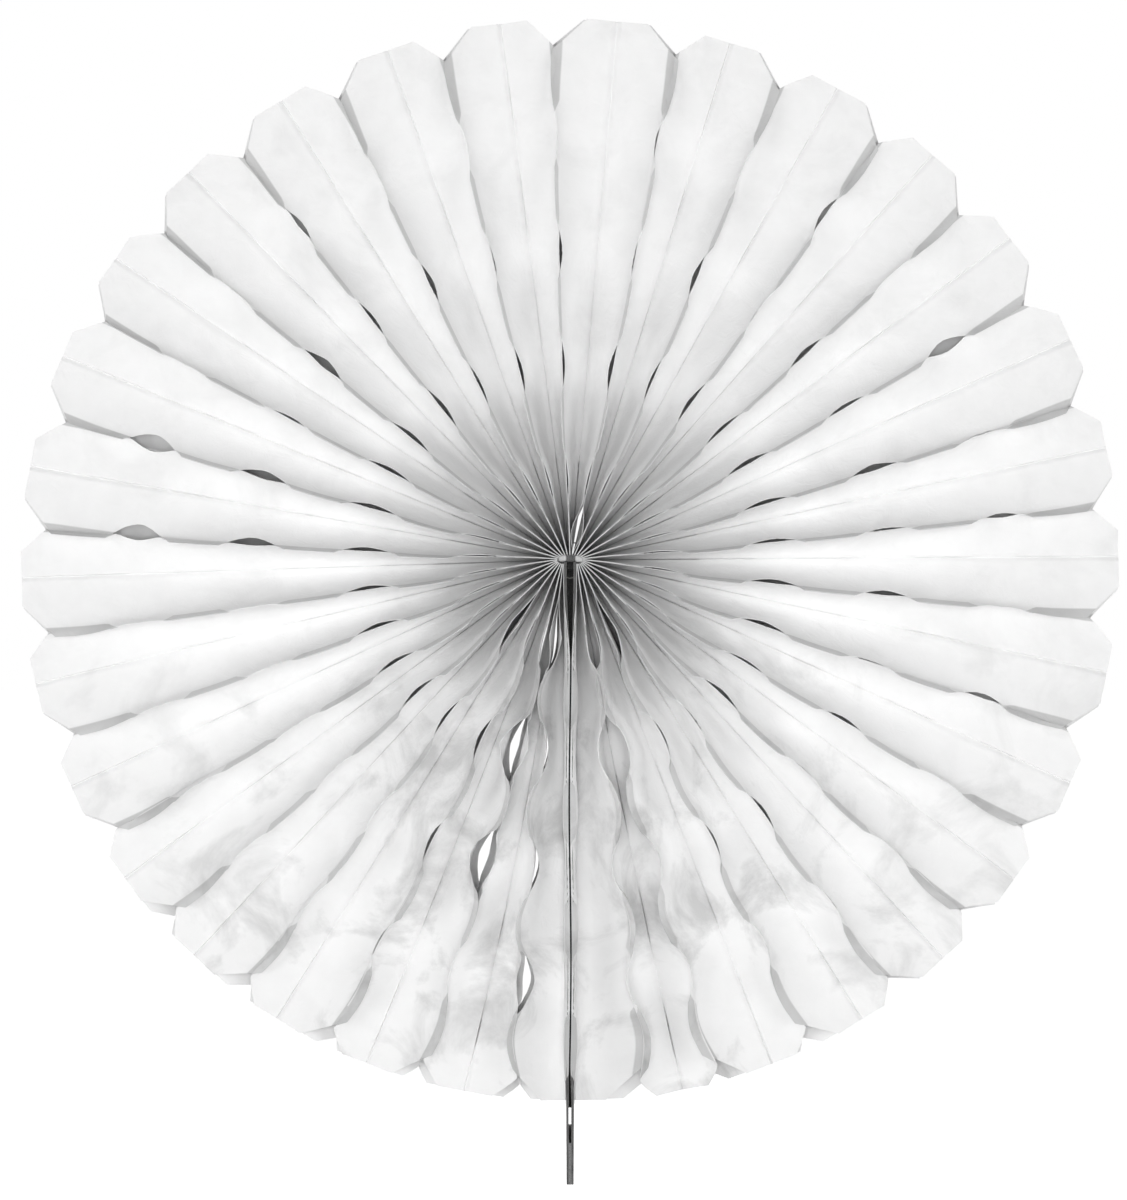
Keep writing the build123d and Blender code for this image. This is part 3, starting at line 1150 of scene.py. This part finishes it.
    def fold(self, flat: np.ndarray, number: int, side: Side) -> np.ndarray:
        """Fold a flat leaf into its place.

        Args:
            flat: places on the flat leaf, as distance from the hub and distance from the fold.
            number: the cell's number.
            side: the side of the ridge that the leaf lies on.

        Returns:
            The places in the fan, in millimetres.
        """
        layout = self.plan.layout
        crest = self.plan.crests[number - 1]
        radius, height = flat[:, 0], np.abs(flat[:, 1])
        front = np.where(flat[:, 1] >= 0, 1.0, -1.0)
        turn = front if not crest.open else np.ones_like(front)
        boundary = number if side is Side.AFTER else number - 1
        inner = 1 - radius / layout.radius
        valley_angle = self.plan.valley(boundary) + self.plan.valley_bow(boundary) * inner
        spread = math.radians(self.plan.valley(number) - self.plan.valley(number - 1)) / 2
        ridge_angle = self.plan.ridge(number) + crest.bow * inner
        valley = layout.hub(valley_angle) + layout.along(valley_angle) * radius[:, None]
        ridge = layout.hub(ridge_angle) + layout.along(ridge_angle) * (radius / math.cos(spread))[:, None]
        inward = ridge - valley
        pitch = np.linalg.norm(inward, axis=1)
        inward /= pitch[:, None]
        lateral, depth, crown, strip = self.section(pitch, self.closed_height(radius, height, front, crest))
        lateral = lateral * side.value
        calm = np.clip((crown - depth) / self.fade, self.calm, 1)
        lateral, depth = self.flop(lateral, depth, crown, strip, self.flop_angle(radius, crest) * turn)
        lateral, depth = self.lean(lateral, depth, crown, self.lean_angle(radius, front, crest))
        sway = self.wave(radius, crest) * turn + self.slip(radius, pitch, front, crest)
        lateral += sway * np.clip(depth / crown, 0.0, 1.0)
        lateral += side.value * self.gape(radius, front, crest) * np.clip(3 * depth / crown - 1, 0.0, 1.0)
        creased = calm * self.crease_wide.share(pitch) * self.crease_deep.share(depth)
        depth += self.crumple(radius, flat[:, 1], number, side) * crest.crumple * creased
        place = ridge - inward * (lateral * side.value)[:, None]
        place[:, 1] -= front * depth
        return place

    def lay_on_card(self, flat: np.ndarray, side: Side) -> np.ndarray:
        """Lay a leaf against a card strip's outer face, with its edges drawn over the strip's own.

        Args:
            flat: places on the flat leaf, as distance from the hub and distance from the fold.
            side: BEFORE for the left strip and AFTER for the right one.

        Returns:
            The places in the fan, in millimetres.
        """
        card = self.plan.card
        half = self.plan.layout.half
        radius, height = flat[:, 0], flat[:, 1]
        curl = self.end_curl[0 if side is Side.BEFORE else 1]
        height = height * half / (half - self.cut.missing(radius))
        rise = card.edge.share(np.abs(height))
        bulge = curl * self.swell(radius) * self.curl_on.at(radius) * np.sin(rise * self.curl_turn)
        wrap = self.wrap_on.at(np.abs(height)) * card.drawn(radius)
        away = (card.thickness + self.end_gap + bulge) * (1 - wrap) + self.edge_gap * wrap
        across = card.face(radius, height, side.value) + side.value * away
        return np.stack([across, -height, self.plan.layout.disc_height - radius], axis=1)

    def _write_crumple_shade(self, pleat: bpy.types.Object, crest: Crest) -> None:
        """Store how much painted shade each point takes for the creases of its pleat, for the finish.

        Args:
            pleat: the pleat.
            crest: how its ridge stands.
        """
        places = points_of(pleat) / MM
        reach = np.hypot(places[:, 0], places[:, 2] - self.plan.layout.disc_height)
        # Painted shade: crumpled pleats take darker mottling away from the disc's centre, for the shade of
        # their creases.
        crumple_shade = np.clip(crest.crumple / self.full_shade_crumple, 0.0, 1.0) * self.crumple_shade_on.at(reach)
        layer = pleat.data.attributes.new("crumple_shade", "FLOAT", "POINT")
        layer.data.foreach_set("value", crumple_shade)

    def section(self, pitch: np.ndarray, height: np.ndarray) -> tuple[np.ndarray, ...]:
        """Cross-section of an upright leaf from its valley to its ridge.

        The leaf stands up in the valley's narrow join, sweeps in a four-cusped curve to the ridge and ends in
        the strip that is glued to its neighbour. The curve's length is what the leaf has left.

        Args:
            pitch: distance from the ridge to the valley.
            height: distance along the leaf from its fold.

        Returns:
            Distance from the ridge's plane, depth, the ridge's full depth and the glued strip's width.
        """
        half = self.plan.layout.half
        join = self.plan.layout.join_height / 2
        spare = np.maximum(half - join - pitch, self.least_spare)
        strip = np.minimum(np.interp(pitch, self.glue_pitch, self.glue), self.glue_share * spare)
        length = half - join - strip
        reach = np.minimum(pitch, length * self.most_reach)
        rise = ((length - reach) + np.sqrt((length - reach) * (length + 3 * reach))) / 2
        rise = np.where(np.abs(rise - reach) < self.margin * reach, reach * (1 + self.margin), rise)
        travel = np.clip(half - strip - height, 0.0, length)
        cube = np.maximum(rise**3 - travel * (rise**2 - reach**2), 0.0)
        cosine = np.sqrt(np.clip((rise**2 - cube ** (2 / 3)) / (rise**2 - reach**2), 0.0, 1.0))
        sine = np.sqrt(1 - cosine**2)
        lateral = pitch * cosine**3
        depth = join + rise * sine**3
        crown = join + rise + strip
        depth = np.where(height < join, height, depth)
        lateral = np.where(height < join, pitch, lateral)
        stuck = height > half - strip
        depth = np.where(stuck, join + rise + height - (half - strip), depth)
        lateral = np.where(stuck, 0.0, lateral)
        wall = np.minimum(self.thickness, pitch * self.most_wall) / 2
        lateral = wall + lateral * (1 - 2 * wall / pitch)
        return lateral, depth, crown, strip

    def closed_height(
        self, radius: np.ndarray, height: np.ndarray, front: np.ndarray, crest: Crest
    ) -> np.ndarray:
        """Draw the leaf's edge up over the notches that have closed.

        Args:
            radius: distances from the hub.
            height: distances along the leaf from its fold.
            front: 1 in the front half and -1 in the back half.
            crest: how the ridge stands.

        Returns:
            The distances from the fold with the edge drawn up.
        """
        half = self.plan.layout.half
        missing = self.cut.missing(radius)
        shut = np.interp(radius, self.cut.notch_radii(), crest.shut)
        back = np.maximum(shut, self.open_back_shut if crest.open else self.back_shut)
        shut = np.where(front < 0, back, shut)
        drawn = height * (half - (1 - shut) * missing) / (half - missing)
        corner = self.cut.missing_corner(radius)
        left = self.cut.missing_corner(radius - crest.rim)
        return np.where(front < 0, drawn * (half - left) / (half - corner), drawn)

    def swell(self, radius: np.ndarray) -> np.ndarray:
        """How far a point is from the nearest notch along the ridge: 0 at a notch and 1 between two."""
        phase = (radius - self.cut.notch_first) / self.cut.notch_pitch * 2 * math.pi
        return (1 - np.cos(phase)) / 2

    def lean_angle(self, radius: np.ndarray, front: np.ndarray, crest: Crest) -> np.ndarray:
        """Lean of the ridge along its length, in radians."""
        behind = 1.0 if crest.open else self.back_lean
        return np.radians(crest.lean) * np.where(front > 0, 1.0, behind) * self.lean_on.at(radius)

    def slip(self, radius: np.ndarray, pitch: np.ndarray, front: np.ndarray, crest: Crest) -> np.ndarray:
        """Find how far the ridge stands off the middle between its valleys.

        Args:
            radius: distances from the hub.
            pitch: distances from the ridge to the valley.
            front: 1 in the front half and -1 in the back half.
            crest: how the ridge stands.

        Returns:
            The distances in millimetres, towards larger angles.
        """
        share = np.where(front > 0, self.front_slip, self.front_slip if crest.open else self.back_slip)
        side = np.clip(crest.lean / self.full_slip_lean, -1.0, 1.0)
        return side * np.minimum(share * pitch, self.most_slip) * self.slip_on.at(radius)

    def flop_angle(self, radius: np.ndarray, crest: Crest) -> np.ndarray:
        """Find how far the glued strip lies over, beyond the ridge's own lean.

        Args:
            radius: distances from the hub.
            crest: how the ridge stands.

        Returns:
            The angles in radians, towards larger angles.
        """
        start = self.cut.notch_radii()[-1] + self.tail_gap
        tail = Onset(start, self.plan.layout.radius - self.cut.rim_cut_length - start).at(radius)
        return np.radians(crest.flop * (1 - tail) + crest.tail * tail) * self.flop_on.at(radius)

    def gape(self, radius: np.ndarray, front: np.ndarray, crest: Crest) -> np.ndarray:
        """Find how far each leaf has come away from the ridge, near the hub and at its notches.

        Args:
            radius: distances from the hub.
            front: 1 in the front half and -1 in the back half.
            crest: how the ridge stands.

        Returns:
            The distances in millimetres.
        """
        total = crest.gape * self.gape_on.at(radius) * (1 - self.gape_off.at(radius))
        for centre, width in zip(self.cut.notch_radii(), crest.wide):
            off = np.clip(np.abs(radius - centre) / (self.wide_reach * self.cut.notch_length), 0.0, 1.0)
            total += width * (1 - off) ** self.wide_power * np.where(front > 0, 1.0, self.back_gape)
        return total

    def wave(self, radius: np.ndarray, crest: Crest) -> np.ndarray:
        """Swing of the ridge to one side between its notches, in millimetres."""
        sign = 1.0 if crest.lean > 0 else -1.0
        return crest.wave * sign * (2 * self.swell(radius) - 1) * self.wave_on.at(radius)

    def crumple(self, radius: np.ndarray, height: np.ndarray, number: int, side: Side) -> np.ndarray:
        """Creases of handled tissue over one leaf.

        Args:
            radius: distances from the hub.
            height: signed distances from the leaf's fold.
            number: the cell's number.
            side: the side of the ridge that the leaf lies on.

        Returns:
            Height of the creases, within about 1 either way.
        """
        dice = np.random.default_rng(number * 2 + (side is Side.AFTER))
        longest = self.crease_length[1]
        total = np.zeros_like(radius)
        for _ in range(self.creases):
            turn = dice.uniform(0, math.pi)
            length = dice.uniform(*self.crease_length)
            travel = (radius * math.cos(turn) + height * math.sin(turn)) / length * 2 * math.pi
            phase = dice.uniform(0, self.crease_phase)
            total += (1 - 2 * np.abs(np.sin(travel / 2 + phase))) * length / longest
        quiet = self.crease_high.share(np.abs(height))
        return total / self.crease_height * quiet * self.crease_on.at(radius)

    def flop(
        self, lateral: np.ndarray, depth: np.ndarray, crown: np.ndarray, strip: np.ndarray, angle: np.ndarray
    ) -> tuple[np.ndarray, np.ndarray]:
        """Turn the glued strip over about its foot.

        Args:
            lateral: signed distances from the ridge's plane, towards larger angles.
            depth: depths in the upright section.
            crown: full depth of the ridge.
            strip: width of the glued strip.
            angle: how far it lies over, towards larger angles.

        Returns:
            The distances and depths with the strip turned.
        """
        foot = crown - strip
        above = depth - foot
        stuck = above > 0
        share = np.clip(above / self.foot, 0.0, 1.0)
        turn = angle * share
        turned = lateral * np.cos(turn) + above * np.sin(turn)
        lowered = foot + above * np.cos(turn) - lateral * np.sin(turn)
        return np.where(stuck, turned, lateral), np.where(stuck, lowered, depth)

    def lean(
        self, lateral: np.ndarray, depth: np.ndarray, crown: np.ndarray, angle: np.ndarray
    ) -> tuple[np.ndarray, np.ndarray]:
        """Bend a section over to one side.

        Args:
            lateral: signed distances from the ridge's plane, towards larger angles.
            depth: depths in the upright section.
            crown: full depth of the ridge.
            angle: lean at the crown, towards larger angles.

        Returns:
            The bent section's distances and depths.
        """
        pivot = crown * self.pivot_share
        share = np.clip((depth - pivot) / (crown - pivot), 0.0, None)
        safe = np.where(np.abs(angle) < LEAST_TURN, LEAST_TURN, angle)
        turn = safe * share
        bend = (crown - pivot) / safe
        above = depth > pivot
        bent_lateral = bend * (1 - np.cos(turn)) + lateral * np.cos(turn)
        bent_depth = pivot + bend * np.sin(turn) - lateral * np.sin(turn)
        return np.where(above, bent_lateral, lateral), np.where(above, bent_depth, depth)


# The card strips and what holds them


@dataclass(frozen=True)
class Drop:
    """One rounded drop: its size, and its place from the disc's centre."""

    size: tuple[float, float, float]
    place: tuple[float, float, float]


@dataclass
class CardSpine:
    """The two card strips, seen edge-on below the centre, and what holds them.

    Attributes:
        plan: where the strips' faces run.
        palette: the materials.
        width: width of the strips.
        rounding: rounding of their edges.
        hole: radius of the hang hole.
        hole_sides: how many sides the hole's edge has.
        punch_length: length of what punches it.
        smooth_angle: angle up to which the pieces are shaded smooth.
        rows: how many faces a strip has along and across.
        glue: the glue that closes the fan's centre, and what has run down between the strips.
        gather: the leaves' inner ends on either side of the glue, where the thread pinches them.
        drop_rounding: rounding of the drops, as a share of their least size.
    """

    plan: FanPlan
    palette: dict[Slot, bpy.types.Material]
    width: float = 50.0
    rounding: float = 0.15
    hole: float = 1.5
    hole_sides: int = 48
    punch_length: float = 20.0
    smooth_angle: float = 40.0
    rows: tuple[int, int] = (64, 20)
    glue: tuple[Drop, ...] = (
        Drop((5.0, 38.0, 3.2), (0.3, 0.0, 0.6)),
        Drop((2.9, 24.0, 5.0), (0.0, 10.0, -1.6)),
    )
    gather: tuple[Drop, ...] = (
        Drop((3.4, 42.0, 3.0), (-3.2, 0.0, 0.6)),
        Drop((3.6, 42.0, 3.0), (3.9, 0.0, 0.3)),
    )
    drop_rounding: float = 0.3

    def build(self, nodes: dict[str, bpy.types.Object]) -> None:
        """Build the strips and the hub, and give the adhesive and the thread their finishes.

        Args:
            nodes: the CAD nodes by name.
        """
        for name, side in (("left", -1), ("right", 1)):
            strip = self._strip(f"card_{name}", side)
            self._finish(strip, Slot.CARD)
            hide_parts(f"card_strip_{name}")
        self._finish(self._drops("hub_glue", self.glue), Slot.ADHESIVE)
        self._finish(self._drops("hub_gather", self.gather), Slot.TISSUE)
        for name, slot in (
            ("adhesive_pad", Slot.ADHESIVE), ("adhesive_strip", Slot.ADHESIVE), ("tie_thread", Slot.THREAD)
        ):
            paint(nodes[name], self.palette[slot])
            LOG.info("%s: %s", name, self.palette[slot].name)

    def _finish(self, piece: bpy.types.Object, slot: Slot) -> None:
        """Put a slot's material on a piece and tie the piece to the frame's body.

        Args:
            piece: the piece.
            slot: the slot that it takes.
        """
        paint(piece, self.palette[slot])
        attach(piece, BODY)
        LOG.info("%s: %d faces", piece.name, len(piece.data.polygons))

    def _strip(self, name: str, side: int) -> bpy.types.Object:
        """Cut one strip, press its edges towards its neighbour and punch the hang hole.

        Args:
            name: name of the piece.
            side: -1 for the left strip and 1 for the right one.

        Returns:
            The strip.
        """
        shape = self.plan.card
        strip = flat_strip(name, (shape.inner_end, shape.length), self.width, self.rows)
        deselect_all()
        flat = points_of(strip) / MM
        middle = shape.face(flat[:, 0], flat[:, 1], side) + side * shape.thickness / 2
        height = self.plan.layout.disc_height - flat[:, 0]
        depth = flat[:, 1] * (1 - shape.setback / (self.width / 2) * shape.drawn(flat[:, 0]))
        move_points(strip, np.stack([middle, depth, height], axis=1) * MM)
        thicken(strip, shape.thickness)
        round_edges(strip, self.rounding, 2)
        self._punch(strip)
        shade(strip, self.smooth_angle)
        return strip

    def _punch(self, strip: bpy.types.Object) -> None:
        """Punch the hang hole, whose centre is the frame's origin.

        Args:
            strip: the strip to punch.
        """
        deselect_all()
        bpy.ops.mesh.primitive_cylinder_add(
            vertices=self.hole_sides, radius=self.hole * MM, depth=self.punch_length * MM,
            location=(0, 0, 0), rotation=(0, math.radians(90), 0),
        )
        punch = bpy.context.active_object
        apply_modifier(strip, "BOOLEAN", operation="DIFFERENCE", object=punch, solver="EXACT")
        bpy.data.objects.remove(punch)

    def _drops(self, name: str, drops: tuple[Drop, ...]) -> bpy.types.Object:
        """Set some drops at the disc's centre and join them into one piece.

        Args:
            name: name of the piece.
            drops: the drops.

        Returns:
            The piece.
        """
        centre = Vector((0, 0, self.plan.layout.disc_height))
        pieces = []
        for drop in drops:
            deselect_all()
            bpy.ops.mesh.primitive_cube_add(size=1.0, location=(0, 0, 0))
            piece = new_piece(name)
            bpy.ops.transform.resize(value=Vector(drop.size) * MM)
            bpy.ops.transform.translate(value=(centre + Vector(drop.place)) * MM)
            deselect_all()
            round_edges(piece, min(drop.size) * self.drop_rounding, 4)
            shade(piece, self.smooth_angle)
            pieces.append(piece)
        return join_pieces(pieces, name)


# The studio


@dataclass(frozen=True)
class Lamp:
    """One soft square lamp that looks at the disc."""

    name: str
    place: tuple[float, float, float]
    size: float
    power: float


@dataclass
class Studio:
    """Floor, light and camera, in metres.

    Attributes:
        target: what the lamps look at.
        camera_distance: distance of the camera from the disc.
        view_centre: middle of the picture, across and up.
        view_height: height of the picture at the disc.
        sensor_height: height of the camera's sensor, in millimetres.
        sight: how far the camera sees.
        floor_level: height of the floor.
        floor_size: length of its sides.
        floor_color: its colour.
        glow: how much the floor brightens for the camera alone.
        ambient: strength of the light from all round.
        lamps: the lamps.
    """

    target: tuple[float, float, float] = (0.0, 0.0, 0.245)
    camera_distance: float = 1.4
    view_centre: tuple[float, float] = (-0.0027, 0.2283)
    view_height: float = 0.5
    sensor_height: float = 24.0
    sight: float = 60.0
    floor_level: float = -0.35
    floor_size: float = 40.0
    floor_color: Color = (0.88, 0.88, 0.88)
    glow: float = 0.84
    ambient: float = 0.17
    lamps: tuple[Lamp, ...] = (
        Lamp("left_lamp", (-1.9, -1.7, 0.35), 1.3, 17.0),
        Lamp("right_lamp", (1.9, -1.7, 0.35), 1.3, 16.5),
        Lamp("front_lamp", (-0.1, -2.3, 0.2), 0.9, 18.0),
        Lamp("back_lamp", (0.2, 2.0, 1.2), 1.6, 27.0),
    )

    def build(self) -> None:
        """Set up the whole studio."""
        self._floor()
        self._world()
        for lamp in self.lamps:
            self._light(lamp)
        self._camera()
        bpy.context.scene.view_settings.view_transform = "Standard"

    def _floor(self) -> None:
        """Lay a pale floor that shows the fan's shadow."""
        deselect_all()
        bpy.ops.mesh.primitive_plane_add(size=self.floor_size, location=(0, 0, self.floor_level))
        floor = bpy.context.active_object
        floor.name = floor.data.name = "studio_floor"
        board = FinishBoard("pale_floor", Base_Color=self.floor_color, Roughness=0.9)
        seen = board.add("LightPath").outputs["Is Camera Ray"]
        glow = board.add("Emission", {"Strength": board.reckon("MULTIPLY", seen, self.glow)})
        both = board.add("AddShader", {0: board.shader.outputs[0], 1: glow.outputs[0]})
        board.plug(both.outputs[0], board.nodes["Material Output"].inputs["Surface"])
        paint(floor, board.material)

    def _world(self) -> None:
        """Light the scene from all round, and show the eye plain white behind the fan."""
        world = bpy.data.worlds.new("studio_world")
        bpy.context.scene.world = world
        world.use_nodes = True
        board = NodeBoard(world.node_tree)
        board.nodes.clear()
        rays = board.add("LightPath").outputs
        seen = board.reckon("MAXIMUM", rays["Is Camera Ray"], rays["Is Glossy Ray"])
        seen = board.reckon("MAXIMUM", seen, rays["Is Transmission Ray"])
        around, behind = (
            board.add("Background", {"Color": WHITE, "Strength": strength}).outputs[0]
            for strength in (self.ambient, 1.0)
        )
        mixed = board.add("MixShader", {"Fac": seen, 1: around, 2: behind}).outputs[0]
        board.add("OutputWorld", {"Surface": mixed})

    def _light(self, lamp: Lamp) -> None:
        """Hang one lamp and turn it towards the disc.

        Args:
            lamp: the lamp.
        """
        deselect_all()
        toward = Vector(self.target) - Vector(lamp.place)
        bpy.ops.object.light_add(
            type="AREA", location=lamp.place, rotation=toward.to_track_quat("-Z", "Y").to_euler()
        )
        light = bpy.context.active_object
        light.name = light.data.name = lamp.name
        light.data.size = lamp.size
        light.data.energy = lamp.power
        light.visible_camera = False

    def _camera(self) -> None:
        """Stand the camera straight in front of the disc, framed as the photo is."""
        deselect_all()
        across, up = self.view_centre
        bpy.ops.object.camera_add(
            location=(across, -self.camera_distance, up), rotation=(math.radians(90), 0, 0)
        )
        camera = bpy.context.active_object
        camera.name = camera.data.name = "photo_camera"
        camera.data.sensor_fit = "VERTICAL"
        camera.data.sensor_height = self.sensor_height
        camera.data.lens = self.sensor_height * self.camera_distance / self.view_height
        camera.data.clip_end = self.sight
        bpy.context.scene.camera = camera


def main() -> None:
    """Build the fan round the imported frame, and its studio."""
    logging.basicConfig(level=logging.INFO, format="%(name)s %(message)s")
    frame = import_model()
    plan = FanPlan()
    palette = {
        Slot.TISSUE: TissuePaper().material(),
        Slot.CARD: GreyBoard().material(),
        Slot.ADHESIVE: FoamAdhesive().material(),
        Slot.THREAD: CottonThread().material(),
    }
    TissueFan(plan, LeafCut(plan.layout)).build(palette[Slot.TISSUE])
    CardSpine(plan, palette).build(frame["nodes"])
    Studio().build()


if __name__ == "__main__":
    main()
